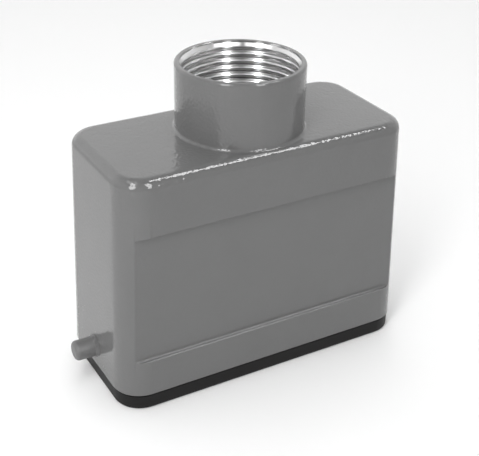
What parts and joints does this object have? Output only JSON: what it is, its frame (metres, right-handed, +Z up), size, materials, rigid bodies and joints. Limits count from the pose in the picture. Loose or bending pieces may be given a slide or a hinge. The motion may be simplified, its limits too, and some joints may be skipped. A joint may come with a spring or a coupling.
{
  "type": "heavy duty rectangular connector",
  "caption": "Rectangular die-cast connector hood with a threaded top cable entry, locking pegs, a rim seal and a recessed male contact insert.",
  "frame": {"origin": "centre of the seal's underside, on the surface that the connector stands on", "axes": "+X along the long side, +Y to the rear long wall, +Z up along the cable entry"},
  "size_m": [0.0706, 0.028, 0.0593],
  "materials": {
    "paint": "semi-gloss powder coat",
    "seal_rubber": "matt moulded rubber",
    "moulding": "fine matt moulding",
    "plated_brass": "silver plated, turned",
    "plated_steel": "zinc plated"
  },
  "bodies": {
    "root": {"hood": "paint", "rim_seal": "seal_rubber", "insert_body": "moulding", "contact_01": "plated_brass", "contact_02": "plated_brass", "contact_03": "plated_brass", "contact_04": "plated_brass", "contact_05": "plated_brass", "contact_06": "plated_brass", "contact_07": "plated_brass", "contact_08": "plated_brass", "contact_09": "plated_brass", "contact_10": "plated_brass", "terminal_screw_01": "plated_steel", "terminal_screw_02": "plated_steel", "terminal_screw_03": "plated_steel", "terminal_screw_04": "plated_steel", "terminal_screw_05": "plated_steel", "terminal_screw_06": "plated_steel", "terminal_screw_07": "plated_steel", "terminal_screw_08": "plated_steel", "terminal_screw_09": "plated_steel", "terminal_screw_10": "plated_steel", "fixing_screw_01": "plated_steel", "fixing_screw_02": "plated_steel", "fixing_screw_03": "plated_steel", "fixing_screw_04": "plated_steel", "lock_washer_01": "plated_steel", "lock_washer_02": "plated_steel", "lock_washer_03": "plated_steel", "lock_washer_04": "plated_steel", "ground_bracket_left": "plated_steel", "ground_clamp_left": "plated_steel", "ground_screw_left": "plated_steel", "ground_bracket_right": "plated_steel", "ground_clamp_right": "plated_steel", "ground_screw_right": "plated_steel"}
  },
  "joints": []
}
